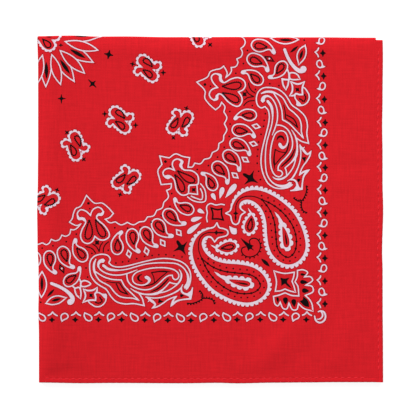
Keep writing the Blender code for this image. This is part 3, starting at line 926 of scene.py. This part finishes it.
for index in range(-1, 12):
    y = SIDE_FIRST + SIDE_STEP * index + SIDE_STRAYS[index + 1]
    x = SIDE_X + 2.5 * min(max(y - 16, 0) / 70, 1) - 0.4 * (index > 7)  # the row bends away at the top
    quarter.append(star((x, y), (2.8, 3.4, 2.8, 3.4), waist=ROW_WAIST))
    quarter.append(inked_line(WHITE, moved(SIDE_BRACKET, x, y), BRACKET_LINE))
    if index == 11:
        break
    centre, side = ((x - 1.0, y + 10.1), -1) if index % 2 else ((x - 3.4, y + 10.75), 1)
    quarter += nibbed_ring(centre, side)
BOTTOM_RINGS = (
    ((-13.6, -6.8, 1), (-14.3, -4.6), (-13.5, -2.0), (-12.0, 0.1), (-9.1, 1.2), (-7.0, 0.2), (-6.5, -2.0),
     (-7.8, -4.0), (-10.5, -5.4)),
    ((-13.1, 1.3, 1), (-13.9, -1.3), (-14.0, -3.9), (-12.3, -5.9), (-9.8, -6.4), (-7.8, -5.2),
     (-7.0, -3.2), (-8.4, -1.3), (-10.9, -0.2)),
)
for index in range(12):
    x = BOTTOM_FIRST + BOTTOM_STEP * index
    y = BOTTOM_Y + 0.9 * math.exp(-(((x - 145) / 40) ** 2))  # the row sags in its middle
    quarter.append(star((x, y), (3.1, 2.6, 3.1, 2.7), waist=ROW_WAIST))
    quarter.append(inked_line(WHITE, moved(BOTTOM_BRACKET, x, y), BRACKET_LINE))
    quarter += white_ring(moved(BOTTOM_RINGS[index % 2], x, y), ROW_RING_LINE)
for line, width in (
    (((281, 275.8), (283.6, 274.9), (287, 276.2), (288.5, 280.4), (287, 284.6), (282.6, 286.6),
      (278.8, 284.4), (277.5, 279.8)), (1.2, 1.8, 1.9, 1.8, 1.8, 1.8, 1.8, 1.2)),
    (((284, 275.6), (285.6, 278.4), (284.9, 281.2), (282.6, 283), (279.6, 283.2)),
     (1.4, 1.8, 1.6, 1.4, 0.9)),
):
    quarter.append(inked_line(WHITE, line, width))

# White ink shrinks back a little from a drawn edge, and black ink spreads into the cloth.
INK_SPREAD = {GROUND: 0.07, WHITE: -0.07, BLACK: 0.1}
quarter = [Shape(shape.ink, beside(shape.outline, INK_SPREAD[shape.ink], True)) for shape in quarter]

# The paste that carries the white ink has wetted the cloth a little way past every edge of it.
WET_REACH = 0.95
printed = []
for shape in quarter:
    if shape.ink == WHITE:
        printed.append(Shape(WET, beside(shape.outline, WET_REACH, True)))
    printed.append(shape)
    if shape.ink == GROUND:
        printed.append(Shape(WET, shape.outline))
        printed.append(Shape(GROUND, beside(shape.outline, -WET_REACH, True)))

# ---------------------------------------------------------------------------------------------
# The front quarter: one layer of thin cloth, which turns in under itself along the left fold and
# runs over to the back along the top fold. It bows a little off the layers below. The print is
# cut into the sheet, so that each inked shape has its own faces.
# Cloth is measured flat: how far a point lies from the left side, from the top and below the face.
PLY = 0.3  # thickness of the cloth
LEFT, RIGHT, TOP, BOTTOM = -139.5, 139.5, 140.2, -140.2
MIDDLE = CLOTH_TOP / 2  # height of the level between the second and the third layer
OUTER_FOLD = MIDDLE  # outer radius of the fold along the top, which is pressed narrower than round
PRESSED = 0.5
SIDE_FOLD = 1.15     # outer radius of each fold along the left side
HEM_REACH = 5.65     # from the edge to the seam where the hem meets the single cloth
PRINT_LEFT, PRINT_TOP = -0.34, 0.18  # how far the drawing is moved, in its own units
SHEET_LONG, SHEET_STEP = 268, 3.0  # about how long the sheet's grid is, and its pitch
FIRST_GUESS, ROUNDS = 270.0, 5     # for where the lines of the grid cross between the wavy sides
# The grid's lines round each fold, as angles on from the flat cloth.
SIDE_TURNS = np.radians((180, 158, 136, 114, 92, 69, 46, 23, 0))
TOP_TURNS = np.radians((90, 75, 60, 45, 30, 15, 0))

# How far each side lies inside the widest outline: places along it and insets.
LEFT_EDGE = ((-140, 1.05), (-102, 1.05), (-80, 0.6), (-68, 0.85), (-46, 0.7), (-30, -0.1), (0, -0.4),
             (24, 0.2), (56, 0.4), (112, 0.4), (140, -0.2))
RIGHT_EDGE = ((-140, -0.15), (-113, -0.05), (-80, 0.2), (-50, 0.25), (-34, 0.65), (0, -0.2), (22, 0.3),
              (45, 0.3), (67, 0.6), (90, 0.3), (124, 0.0), (140, 0.2))
TOP_EDGE = ((-140, -0.1), (-113, -0.6), (-90, 0.2), (-70, 0.1), (-34, 0.65), (34, 0.5), (48, 0.9),
            (90, 0.8), (124, 1.1), (140, 1.2))
BOTTOM_EDGE = ((-140, 0.45), (-102, -0.1), (-79, 0.1), (-22, -0.15), (6, 0.2), (22, -0.2), (52, 0.35),
               (80, 0.55), (100, 0.75), (140, 0.75))


def ease(share):
    """A share from 0 to 1 that sets out and arrives softly."""
    share = np.clip(share, 0, 1)
    return share * share * (3 - 2 * share)


def inset(edge, along):
    """How far a side lies inside the widest outline at places along it."""
    places, insets = np.array(edge).T
    spot = np.interp(along, places, np.arange(len(places)))
    row = np.minimum(spot.astype(int), len(places) - 2)
    share = ease(spot - row)
    return insets[row] * (1 - share) + insets[row + 1] * share


def left_fold(down):
    """Where the turn of the left fold begins."""
    return inset(LEFT_EDGE, TOP - down) + SIDE_FOLD


def top_fold(across):
    """Where the turn of the top fold begins."""
    return inset(TOP_EDGE, LEFT + across) + OUTER_FOLD * PRESSED


def right_edge(down):
    """Where the cloth ends on the right."""
    return RIGHT - LEFT - inset(RIGHT_EDGE, TOP - down)


def bottom_edge(across):
    """Where the cloth ends at the bottom."""
    return TOP - BOTTOM - inset(BOTTOM_EDGE, LEFT + across)


def lay(across, down, below, lift=0.0, short=0.0, back=False):
    """Places in metres of flat cloth points; short is how far the top fold comes down on a hem."""
    fold = left_fold(down)
    turn = np.clip((fold - across) / SIDE_FOLD, 0, math.pi)
    x = np.where(turn > 0, fold - (SIDE_FOLD - below) * np.sin(turn), across)
    depth = SIDE_FOLD - (SIDE_FOLD - below) * np.cos(turn)
    fold = top_fold(across) + short
    tilt = np.clip((fold - down) / OUTER_FOLD, 0, math.pi / 2)
    y = np.where(tilt > 0, fold - (OUTER_FOLD - depth) * PRESSED * np.sin(tilt), down)
    z = (OUTER_FOLD - depth) * np.cos(tilt) + lift * np.clip(np.cos(turn), 0, 1) * np.cos(tilt)
    return np.stack((LEFT + x, TOP - y, MIDDLE - z if back else MIDDLE + z), axis=-1) * MM


# Where the front quarter bows up or sinks in: x, y, long and short half-size, heading, height.
SWELLS = (
    (-130, -20, 110, 11, 90, 0.90), (-127, -92, 38, 28, 97, 1.50), (10, 130, 110, 8, 0, 0.50),
    (-45, -18, 40, 26, 30, 0.90), (8, 52, 36, 22, 40, 0.80), (84, 62, 62, 30, 90, -0.90),
    (112, 35, 30, 4, 4, -0.22), (55, -111, 34, 12, 45, 0.70), (106, -112, 30, 12, 70, 0.50),
)
SWELL_HEIGHT = 1.2
TOP_DIP, TOP_DIP_REACH = 0.72, 11.0    # the cloth sinks towards its pressed folds
LEFT_DIP, LEFT_DIP_REACH = 1.15, 13.0
SEAM_FADE = 11.0  # the stiff hems lie flat, and the bows fade out this far from them


def bow(across, down):
    """How far the front quarter stands up from where it would lie quite flat."""
    x, y = LEFT + across, TOP - down
    height = np.zeros(np.shape(across))
    for middle_x, middle_y, long, short, heading, rise in SWELLS:
        cosine, sine = math.cos(math.radians(heading)), math.sin(math.radians(heading))
        far = ((x - middle_x) * cosine + (y - middle_y) * sine) / long
        wide = ((y - middle_y) * cosine - (x - middle_x) * sine) / short
        height += SWELL_HEIGHT * rise * np.exp(-far * far - wide * wide)
    from_top = np.maximum(down - top_fold(across), 0)
    from_left = np.maximum(across - left_fold(down), 0)
    height -= TOP_DIP * np.clip(1 - from_top / TOP_DIP_REACH, 0, 1) ** 2
    height -= LEFT_DIP * np.clip(1 - from_left / LEFT_DIP_REACH, 0, 1) ** 2
    to_seam = np.minimum(right_edge(down) - across, bottom_edge(across) - down) - HEM_REACH
    return height * ease(to_seam / SEAM_FADE)


def flat_places(columns, rows):
    """Flat places for shares between fold and seam; a turn is how far round a fold a place lies."""
    (share_x, turn_x), (share_y, turn_y) = columns, rows
    across, down = share_x * FIRST_GUESS, share_y * FIRST_GUESS
    for _ in range(ROUNDS):
        fold, seam = left_fold(down), right_edge(down) - HEM_REACH
        across = fold + (seam - fold) * share_x - SIDE_FOLD * turn_x
        fold, seam = top_fold(across), bottom_edge(across) - HEM_REACH
        down = fold + (seam - fold) * share_y - OUTER_FOLD * turn_y
    return across, down


def stations(turns):
    """Shares and turns of the places along one direction of the sheet."""
    shares = np.linspace(0, 1, round(SHEET_LONG / SHEET_STEP) + 1)[1:]
    return np.concatenate((0 * turns, shares)), np.concatenate((turns, 0 * shares))


def inside(spots, outline):
    """Which spots an outline goes round, whichever way and however often."""
    low, high = outline.min(axis=0), outline.max(axis=0)
    near = np.nonzero(((spots > low) & (spots < high)).all(axis=1))[0]
    x, y = spots[near].T
    rounds = np.zeros(len(near), int)
    for (x0, y0), (x1, y1) in zip(outline, np.roll(outline, -1, axis=0)):
        left_of = (x1 - x0) * (y - y0) - (x - x0) * (y1 - y0)
        rounds += ((y0 <= y) & (y1 > y) & (left_of > 0)).astype(int)
        rounds -= ((y0 > y) & (y1 <= y) & (left_of < 0)).astype(int)
    return near[rounds != 0]


columns, rows = stations(SIDE_TURNS), stations(TOP_TURNS)
grid_x, grid_y = flat_places(
    [part[:, None] + 0 * rows[0] for part in columns], [part + 0 * columns[0][:, None] for part in rows]
)
grid = np.stack((grid_x, grid_y), axis=-1)
grid_spots = grid[1:-1, 1:-1].reshape(-1, 2)
rim = np.concatenate((grid[:-1, 0], grid[-1, :-1], grid[:0:-1, -1], grid[0, :0:-1]))
fold_lines = [grid[index] for index in range(1, len(SIDE_TURNS))]
fold_lines += [grid[:, index] for index in range(1, len(TOP_TURNS))]
outlines = []
for shape in printed:
    outline = np.array([[spot.real, spot.imag] for spot in shape.outline])
    outlines.append((shape.ink, (outline + (PRINT_LEFT, PRINT_TOP)) * PRINT_UNIT))

CUT_MERGE = 1e-4  # points nearer to each other than this become one


def cut(loops, lines, spots):
    """Triangles that keep to every loop and line; the first loop bounds them."""
    points, edges = [spots], []
    count = len(spots)
    for line, closed in [(loop, True) for loop in loops] + [(line, False) for line in lines]:
        points.append(line)
        steps = np.arange(len(line) if closed else len(line) - 1)
        edges.append(np.stack((steps, (steps + 1) % len(line)), axis=1) + count)
        count += len(line)
    points = [Vector(point) for point in np.concatenate(points)]
    result = delaunay_2d_cdt(points, np.concatenate(edges).tolist(), [], 0, CUT_MERGE, True)
    places = np.array([tuple(vert) for vert in result[0]])
    faces = np.array(result[2])
    kept = inside(places[faces].mean(axis=1), loops[0])
    return places, faces[kept]


print_places, print_faces = cut([rim, *(outline for _, outline in outlines)], fold_lines, grid_spots)
centres = print_places[print_faces].mean(axis=1)
print_colours = np.full(len(print_faces), GROUND)
for ink, outline in outlines:
    inked = inside(centres, outline)
    if ink == WET:
        inked = inked[print_colours[inked] == GROUND]
    print_colours[inked] = ink


def rim_of(faces):
    """The places round a cut sheet, in the order that its faces run."""
    sides = np.concatenate((faces[:, :2], faces[:, 1:], faces[:, [2, 0]]))
    keys = np.sort(sides, axis=1) @ (1, faces.max() + 1)
    _, first, uses = np.unique(keys, return_index=True, return_counts=True)
    following = dict(sides[first[uses == 1]].tolist())
    loop = [min(following)]
    while following[loop[-1]] != loop[0]:
        loop.append(following[loop[-1]])
    return np.array(loop)


# The wrong side is plain. Its rim has the same places as the print's, and the two are closed up.
rim_places = rim_of(print_faces)
wrong_places, wrong_faces = cut([print_places[rim_places]], [], grid_spots)
nearest = {tuple(np.round(place, 3)): index for index, place in enumerate(wrong_places)}
wrong_rim = np.array([nearest[tuple(np.round(place, 3))] for place in print_places[rim_places]])
flat_all = np.concatenate((print_places, wrong_places))
depths = np.repeat((0.0, PLY), (len(print_places), len(wrong_places)))
next_rim, next_wrong = np.roll(rim_places, -1), np.roll(wrong_rim, -1)
start = len(print_places)
closing = np.concatenate((
    np.stack((next_rim, rim_places, wrong_rim + start), axis=1),
    np.stack((next_rim, wrong_rim + start, next_wrong + start), axis=1),
))
sheet_faces = np.concatenate((print_faces, wrong_faces[:, ::-1] + start, closing))
sheet_colours = np.concatenate((print_colours, np.full(len(wrong_faces) + len(closing), GROUND)))

# On the bake map the printed side fills all but a narrow strip, which the wrong side is given.
BAKE_SHIFT, BAKE_SPAN, PRINTED_SHARE = (5, 2), (285.0, 280.0), (0.97, 1.0)
WRONG_START, WRONG_SHARE = 0.975, 0.025
SHARP_TURN, HEM_SHARP_TURN = 40, 50


def sheet_piece(name, lift, back):
    """A printed quarter as a thin closed sheet, from the flat cut."""
    places = lay(flat_all[:, 0], flat_all[:, 1], depths, lift, back=back)
    faces = sheet_faces if back else sheet_faces[:, ::-1]
    used = np.unique(faces)
    renumber = np.zeros(len(places), int)
    renumber[used] = np.arange(len(used))
    mesh = bpy.data.meshes.new(name)
    mesh.from_pydata(places[used].tolist(), [], renumber[faces].tolist())
    for material in print_inks:
        mesh.materials.append(material)
    mesh.polygons.foreach_set("material_index", sheet_colours)
    mesh.polygons.foreach_set("use_smooth", np.full(len(faces), True))
    bake, cloth = flat_all.copy(), flat_all * MM
    bake = (bake + BAKE_SHIFT) / BAKE_SPAN * PRINTED_SHARE
    bake[start:, 0] = WRONG_START + bake[start:, 0] * WRONG_SHARE
    for map_name, spots in (("OFBake", bake), (CLOTH_MAP, cloth)):
        layer = mesh.uv_layers.new(name=map_name)
        layer.uv.foreach_set("vector", spots[faces.ravel()].astype(np.float32).ravel())
    mesh.validate()
    mesh.set_sharp_from_angle(angle=math.radians(SHARP_TURN))
    return add_object(name, mesh)


front = sheet_piece("cloth_front", bow(flat_all[:, 0], flat_all[:, 1]), False)
back_cloth = sheet_piece("cloth_back", 0.0, True)
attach(front, "root")
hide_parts("front_quarter")
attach(back_cloth, "root")
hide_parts("back_quarter")

# ---------------------------------------------------------------------------------------------
# The two hidden quarters between them: plain cloth seen only through the slits at the sides. It
# runs on from the left folds of the outer quarters and turns round inside the top fold.
ACROSS_PARTS, DOWN_PARTS = 40, 84
TURN_SHARE = 3 / 42  # the share of each quarter's rows that go round the turn in the top fold
INNER_START = 0.3    # the inner folds lie this far inside the outer ones
INNER_FACE, INNER_WRONG = 2.3, 2.0  # how deep the two sides of the hidden cloth lie
bm = bmesh.new()
bmesh.ops.create_grid(bm, x_segments=ACROSS_PARTS, y_segments=DOWN_PARTS, size=0.5)
bmesh.ops.extrude_face_region(bm, geom=bm.faces[:])
bm.verts.ensure_lookup_table()
spots = np.array([vert.co[:2] for vert in bm.verts])
per_face = (ACROSS_PARTS + 1) * (DOWN_PARTS + 1)
share_x = spots[:, 0] + 0.5
halves = spots[:, 1] * 2
share_y = np.clip(abs(halves) - TURN_SHARE, 0, 1) / (1 - TURN_SHARE)
turn_y = np.clip(1 - abs(halves) / TURN_SHARE, 0, 1) * math.pi / 2
across, down = share_x * FIRST_GUESS, share_y * FIRST_GUESS
for _ in range(ROUNDS):
    fold = left_fold(down) + INNER_START
    across = fold + (right_edge(down) - HEM_REACH - fold) * share_x
    fold = top_fold(across)
    down = fold + (bottom_edge(across) - HEM_REACH - fold) * share_y - OUTER_FOLD * turn_y
below = np.where(np.arange(len(spots)) < per_face, INNER_FACE, INNER_WRONG)
upper, lower = lay(across, down, below), lay(across, down, below, back=True)
for vert, half, one, other in zip(bm.verts, halves, upper, lower):
    vert.co = one if half >= 0 else other
bmesh.ops.recalc_face_normals(bm, faces=bm.faces[:])
mesh = mesh_from(bm, "cloth_inside")
flat = np.stack((across, down), axis=-1) * MM
layer = mesh.uv_layers.new(name=CLOTH_MAP)
layer.uv.foreach_set("vector", flat[[loop.vertex_index for loop in mesh.loops]].astype(np.float32).ravel())
mesh.materials.append(red_cotton)
inside_cloth = add_object("cloth_inside", mesh)
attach(inside_cloth, "root")
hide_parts("hidden_layers")

# ---------------------------------------------------------------------------------------------
# The hems: each edge of the cloth is turned in twice and stitched down, 5.5 wide. The four layers
# lie on each other, so four hems lie along the right side and four along the bottom.
HEM_PLY = 0.28
STITCH_IN = 3.7     # from the edge to the row of stitches
RIGHT_PITCH, BOTTOM_PITCH = 5.65, 5.3
HEM_SHORT = 1.8     # how far the stiff hems stop short of the top fold
HEM_STEP = 0.95
LEVEL_REACH = 9.0   # the hems lie level where they run into a fold, and rise within this much of it
GROOVE, GROOVE_DRAWN, GROOVE_HALF = 0.03, 0.14, 0.5  # the dip along the stitches, and at each one
EDGE_DRAWN = 0.07   # how far each stitch draws the edge in
CROWN_IN = (0, 0.6, 1.6, 2.6, 3.7, 5.65)
CROWN = (0.1, 0.8, 1.0, 0.7, 0.0, 0.0)
CLOTH_ROUND, CLOTH_ALONG = 24.0, 280.0  # how much cloth goes round a hem and along it


def bend(middle, radius, start, end, count):
    """Points round a turn of the cloth, as distances in from the edge and below the face."""
    turns = np.radians(np.linspace(start, end, count))
    return [(middle[0] + radius * math.sin(a), middle[1] - radius * math.cos(a)) for a in turns]


# The path of the cloth's middle through the two turns, in from the edge and below the face.
hem_path = [(place, 0.14) for place in (5.65, 5.2, 4.7, 4.3, 4.0, 3.7, 3.4, 3.05, 2.6, 2.1, 1.5, 0.9)]
hem_path += bend((0.5, 0.5), 0.36, 0, -180, 8)
hem_path += [(1.5, 0.86), (3.0, 0.86), (4.4, 0.86)]
hem_path += bend((5.1, 0.68), 0.18, 180, 0, 5)
hem_path += [(4.0, 0.5), (3.4, 0.5), (2.0, 0.5), (0.95, 0.5)]
hem_line = [complex(*spot) for spot in hem_path]
hem_loop = np.array(beside(hem_line, HEM_PLY / 2) + beside(hem_line, -HEM_PLY / 2)[::-1])
path_order = np.arange(len(hem_line))
hem_top = np.clip((15 - np.concatenate((path_order, path_order[::-1]))) / 4, 0, 1)


def hem_piece(name, node, right, inner, back, rise):
    """Sweeps the turned hem along one side, drawn in at its stitches; rise is how full it is."""
    pitch = RIGHT_PITCH if right else BOTTOM_PITCH
    if right:
        start, end = float(top_fold(273.0)) + HEM_SHORT, float(bottom_edge(275.0))
        turned = start - OUTER_FOLD * TOP_TURNS[:-1]
    else:
        start, end = float(left_fold(277.0)), float(right_edge(277.0)) - HEM_REACH
        turned = start - SIDE_FOLD * SIDE_TURNS[:-1]
        if inner:
            start, turned = start + INNER_START, np.zeros(0)
    places = np.concatenate((turned, np.linspace(start, end, round((end - start) / HEM_STEP) + 1)))
    ring = len(hem_loop)
    bm = bmesh.new()
    bm.loops.layers.uv.new(CLOTH_MAP)
    bmesh.ops.create_grid(bm, x_segments=ring, y_segments=len(places) - 1, size=0.5, calc_uvs=True)
    spots = np.array([vert.co[:2] for vert in bm.verts]) + 0.5
    loop_index = np.round(spots[:, 0] * ring).astype(int) % ring
    along = places[np.round(spots[:, 1] * (len(places) - 1)).astype(int)]
    inward, below, top = hem_loop[loop_index].real, hem_loop[loop_index].imag, hem_top[loop_index]
    drawn = (0.5 + 0.5 * np.cos(2 * math.pi * along / pitch)) ** 3
    groove = (GROOVE + GROOVE_DRAWN * drawn) * np.exp(-(((inward - STITCH_IN) / GROOVE_HALF) ** 2))
    crown = np.interp(inward, CROWN_IN, CROWN)
    level = ease((along - start) / LEVEL_REACH)
    below = below + top * level * (groove - rise * crown * (1 - 0.4 * drawn))
    inward = inward + EDGE_DRAWN * drawn * level * np.exp(-inward)
    if inner:
        below = INNER_FACE - below
    if right:
        placed = lay(right_edge(along) - inward, along, below, short=HEM_SHORT, back=back)
    else:
        placed = lay(along, bottom_edge(along) - inward, below, back=back)
    for vert, spot in zip(bm.verts, placed):
        vert.co = spot
    cloth = bm.loops.layers.uv[CLOTH_MAP]
    for face in bm.faces:
        face.smooth = True
        for corner in face.loops:
            share = corner[cloth].uv
            corner[cloth].uv = (share.x * CLOTH_ROUND * MM, share.y * CLOTH_ALONG * MM)
    bmesh.ops.remove_doubles(bm, verts=bm.verts[:], dist=1e-7)
    bmesh.ops.holes_fill(bm, edges=[edge for edge in bm.edges if edge.is_boundary], sides=0)
    bmesh.ops.recalc_face_normals(bm, faces=bm.faces[:])
    mesh = mesh_from(bm, name)
    mesh.set_sharp_from_angle(angle=math.radians(HEM_SHARP_TURN))
    mesh.materials.append(red_cotton)
    hem = add_object(name, mesh)
    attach(hem, "root")
    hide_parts(node)
    return hem


# Each row of stitches is one length of red cotton thread, whose stitches show on the face. Its red is
# painted a little brighter than the cloth's, as a painted highlight where the light catches the raised
# thread, so that the stitches show as fine ticks.
painted_highlight_thread = cotton("cotton_thread_painted_highlight", "f03440", "d61e2a", 0.02)
STITCH_LONG, STITCH_THICK, STITCH_DIP = 3.7, 0.56, 0.16


def stitch_row(name, right, back):
    """The stitches that show along one hem, each a short thread that dips in at its ends."""
    pitch = RIGHT_PITCH if right else BOTTOM_PITCH
    first, last = (6, 275) if right else (4, 266)
    bm = bmesh.new()
    for index in range(math.ceil(first / pitch), math.floor(last / pitch)):
        made = bmesh.ops.create_uvsphere(bm, u_segments=8, v_segments=8, radius=1.0)["verts"]
        bmesh.ops.scale(bm, verts=made, vec=(STITCH_THICK / 2, STITCH_THICK / 2, STITCH_LONG / 2))
        bmesh.ops.translate(bm, verts=made, vec=(STITCH_IN, 0, (index + 0.5) * pitch))
    spots = np.array([vert.co[:] for vert in bm.verts])
    inward, height, along = spots.T
    middle = (np.floor(along / pitch) + 0.5) * pitch
    level = -0.28 if back else (0.02 if right else -0.06)  # the cloth lies on those of the back
    height = height + level - STITCH_DIP * ((along - middle) / (STITCH_LONG / 2)) ** 2
    if right:
        placed = lay(right_edge(along) - inward, along, -height, short=HEM_SHORT, back=back)
    else:
        placed = lay(along, bottom_edge(along) - inward, -height, back=back)
    for vert, spot in zip(bm.verts, placed):
        vert.co = spot
    bmesh.ops.recalc_face_normals(bm, faces=bm.faces[:])
    for face in bm.faces:
        face.smooth = True
    mesh = mesh_from(bm, name)
    mesh.materials.append(painted_highlight_thread)
    stitches = add_object(name, mesh)
    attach(stitches, "root")
    return stitches


trimmings = {False: [], True: []}
for back in (False, True):
    for right in (True, False):
        side = "right" if right else "bottom"
        face, hidden = ("back", "lower_inner") if back else ("front", "upper_inner")
        rise = 0.0 if back else (0.22 if right else 0.1)
        trimmings[back] += [
            hem_piece(f"hem_{face}_{side}", f"{face}_hem_{side}", right, False, back, rise),
            stitch_row(f"stitches_{face}_{side}", right, back),
        ]
        hem_piece(f"hem_{hidden}_{side}", f"{hidden}_hem_{side}", right, True, back, 0.0)
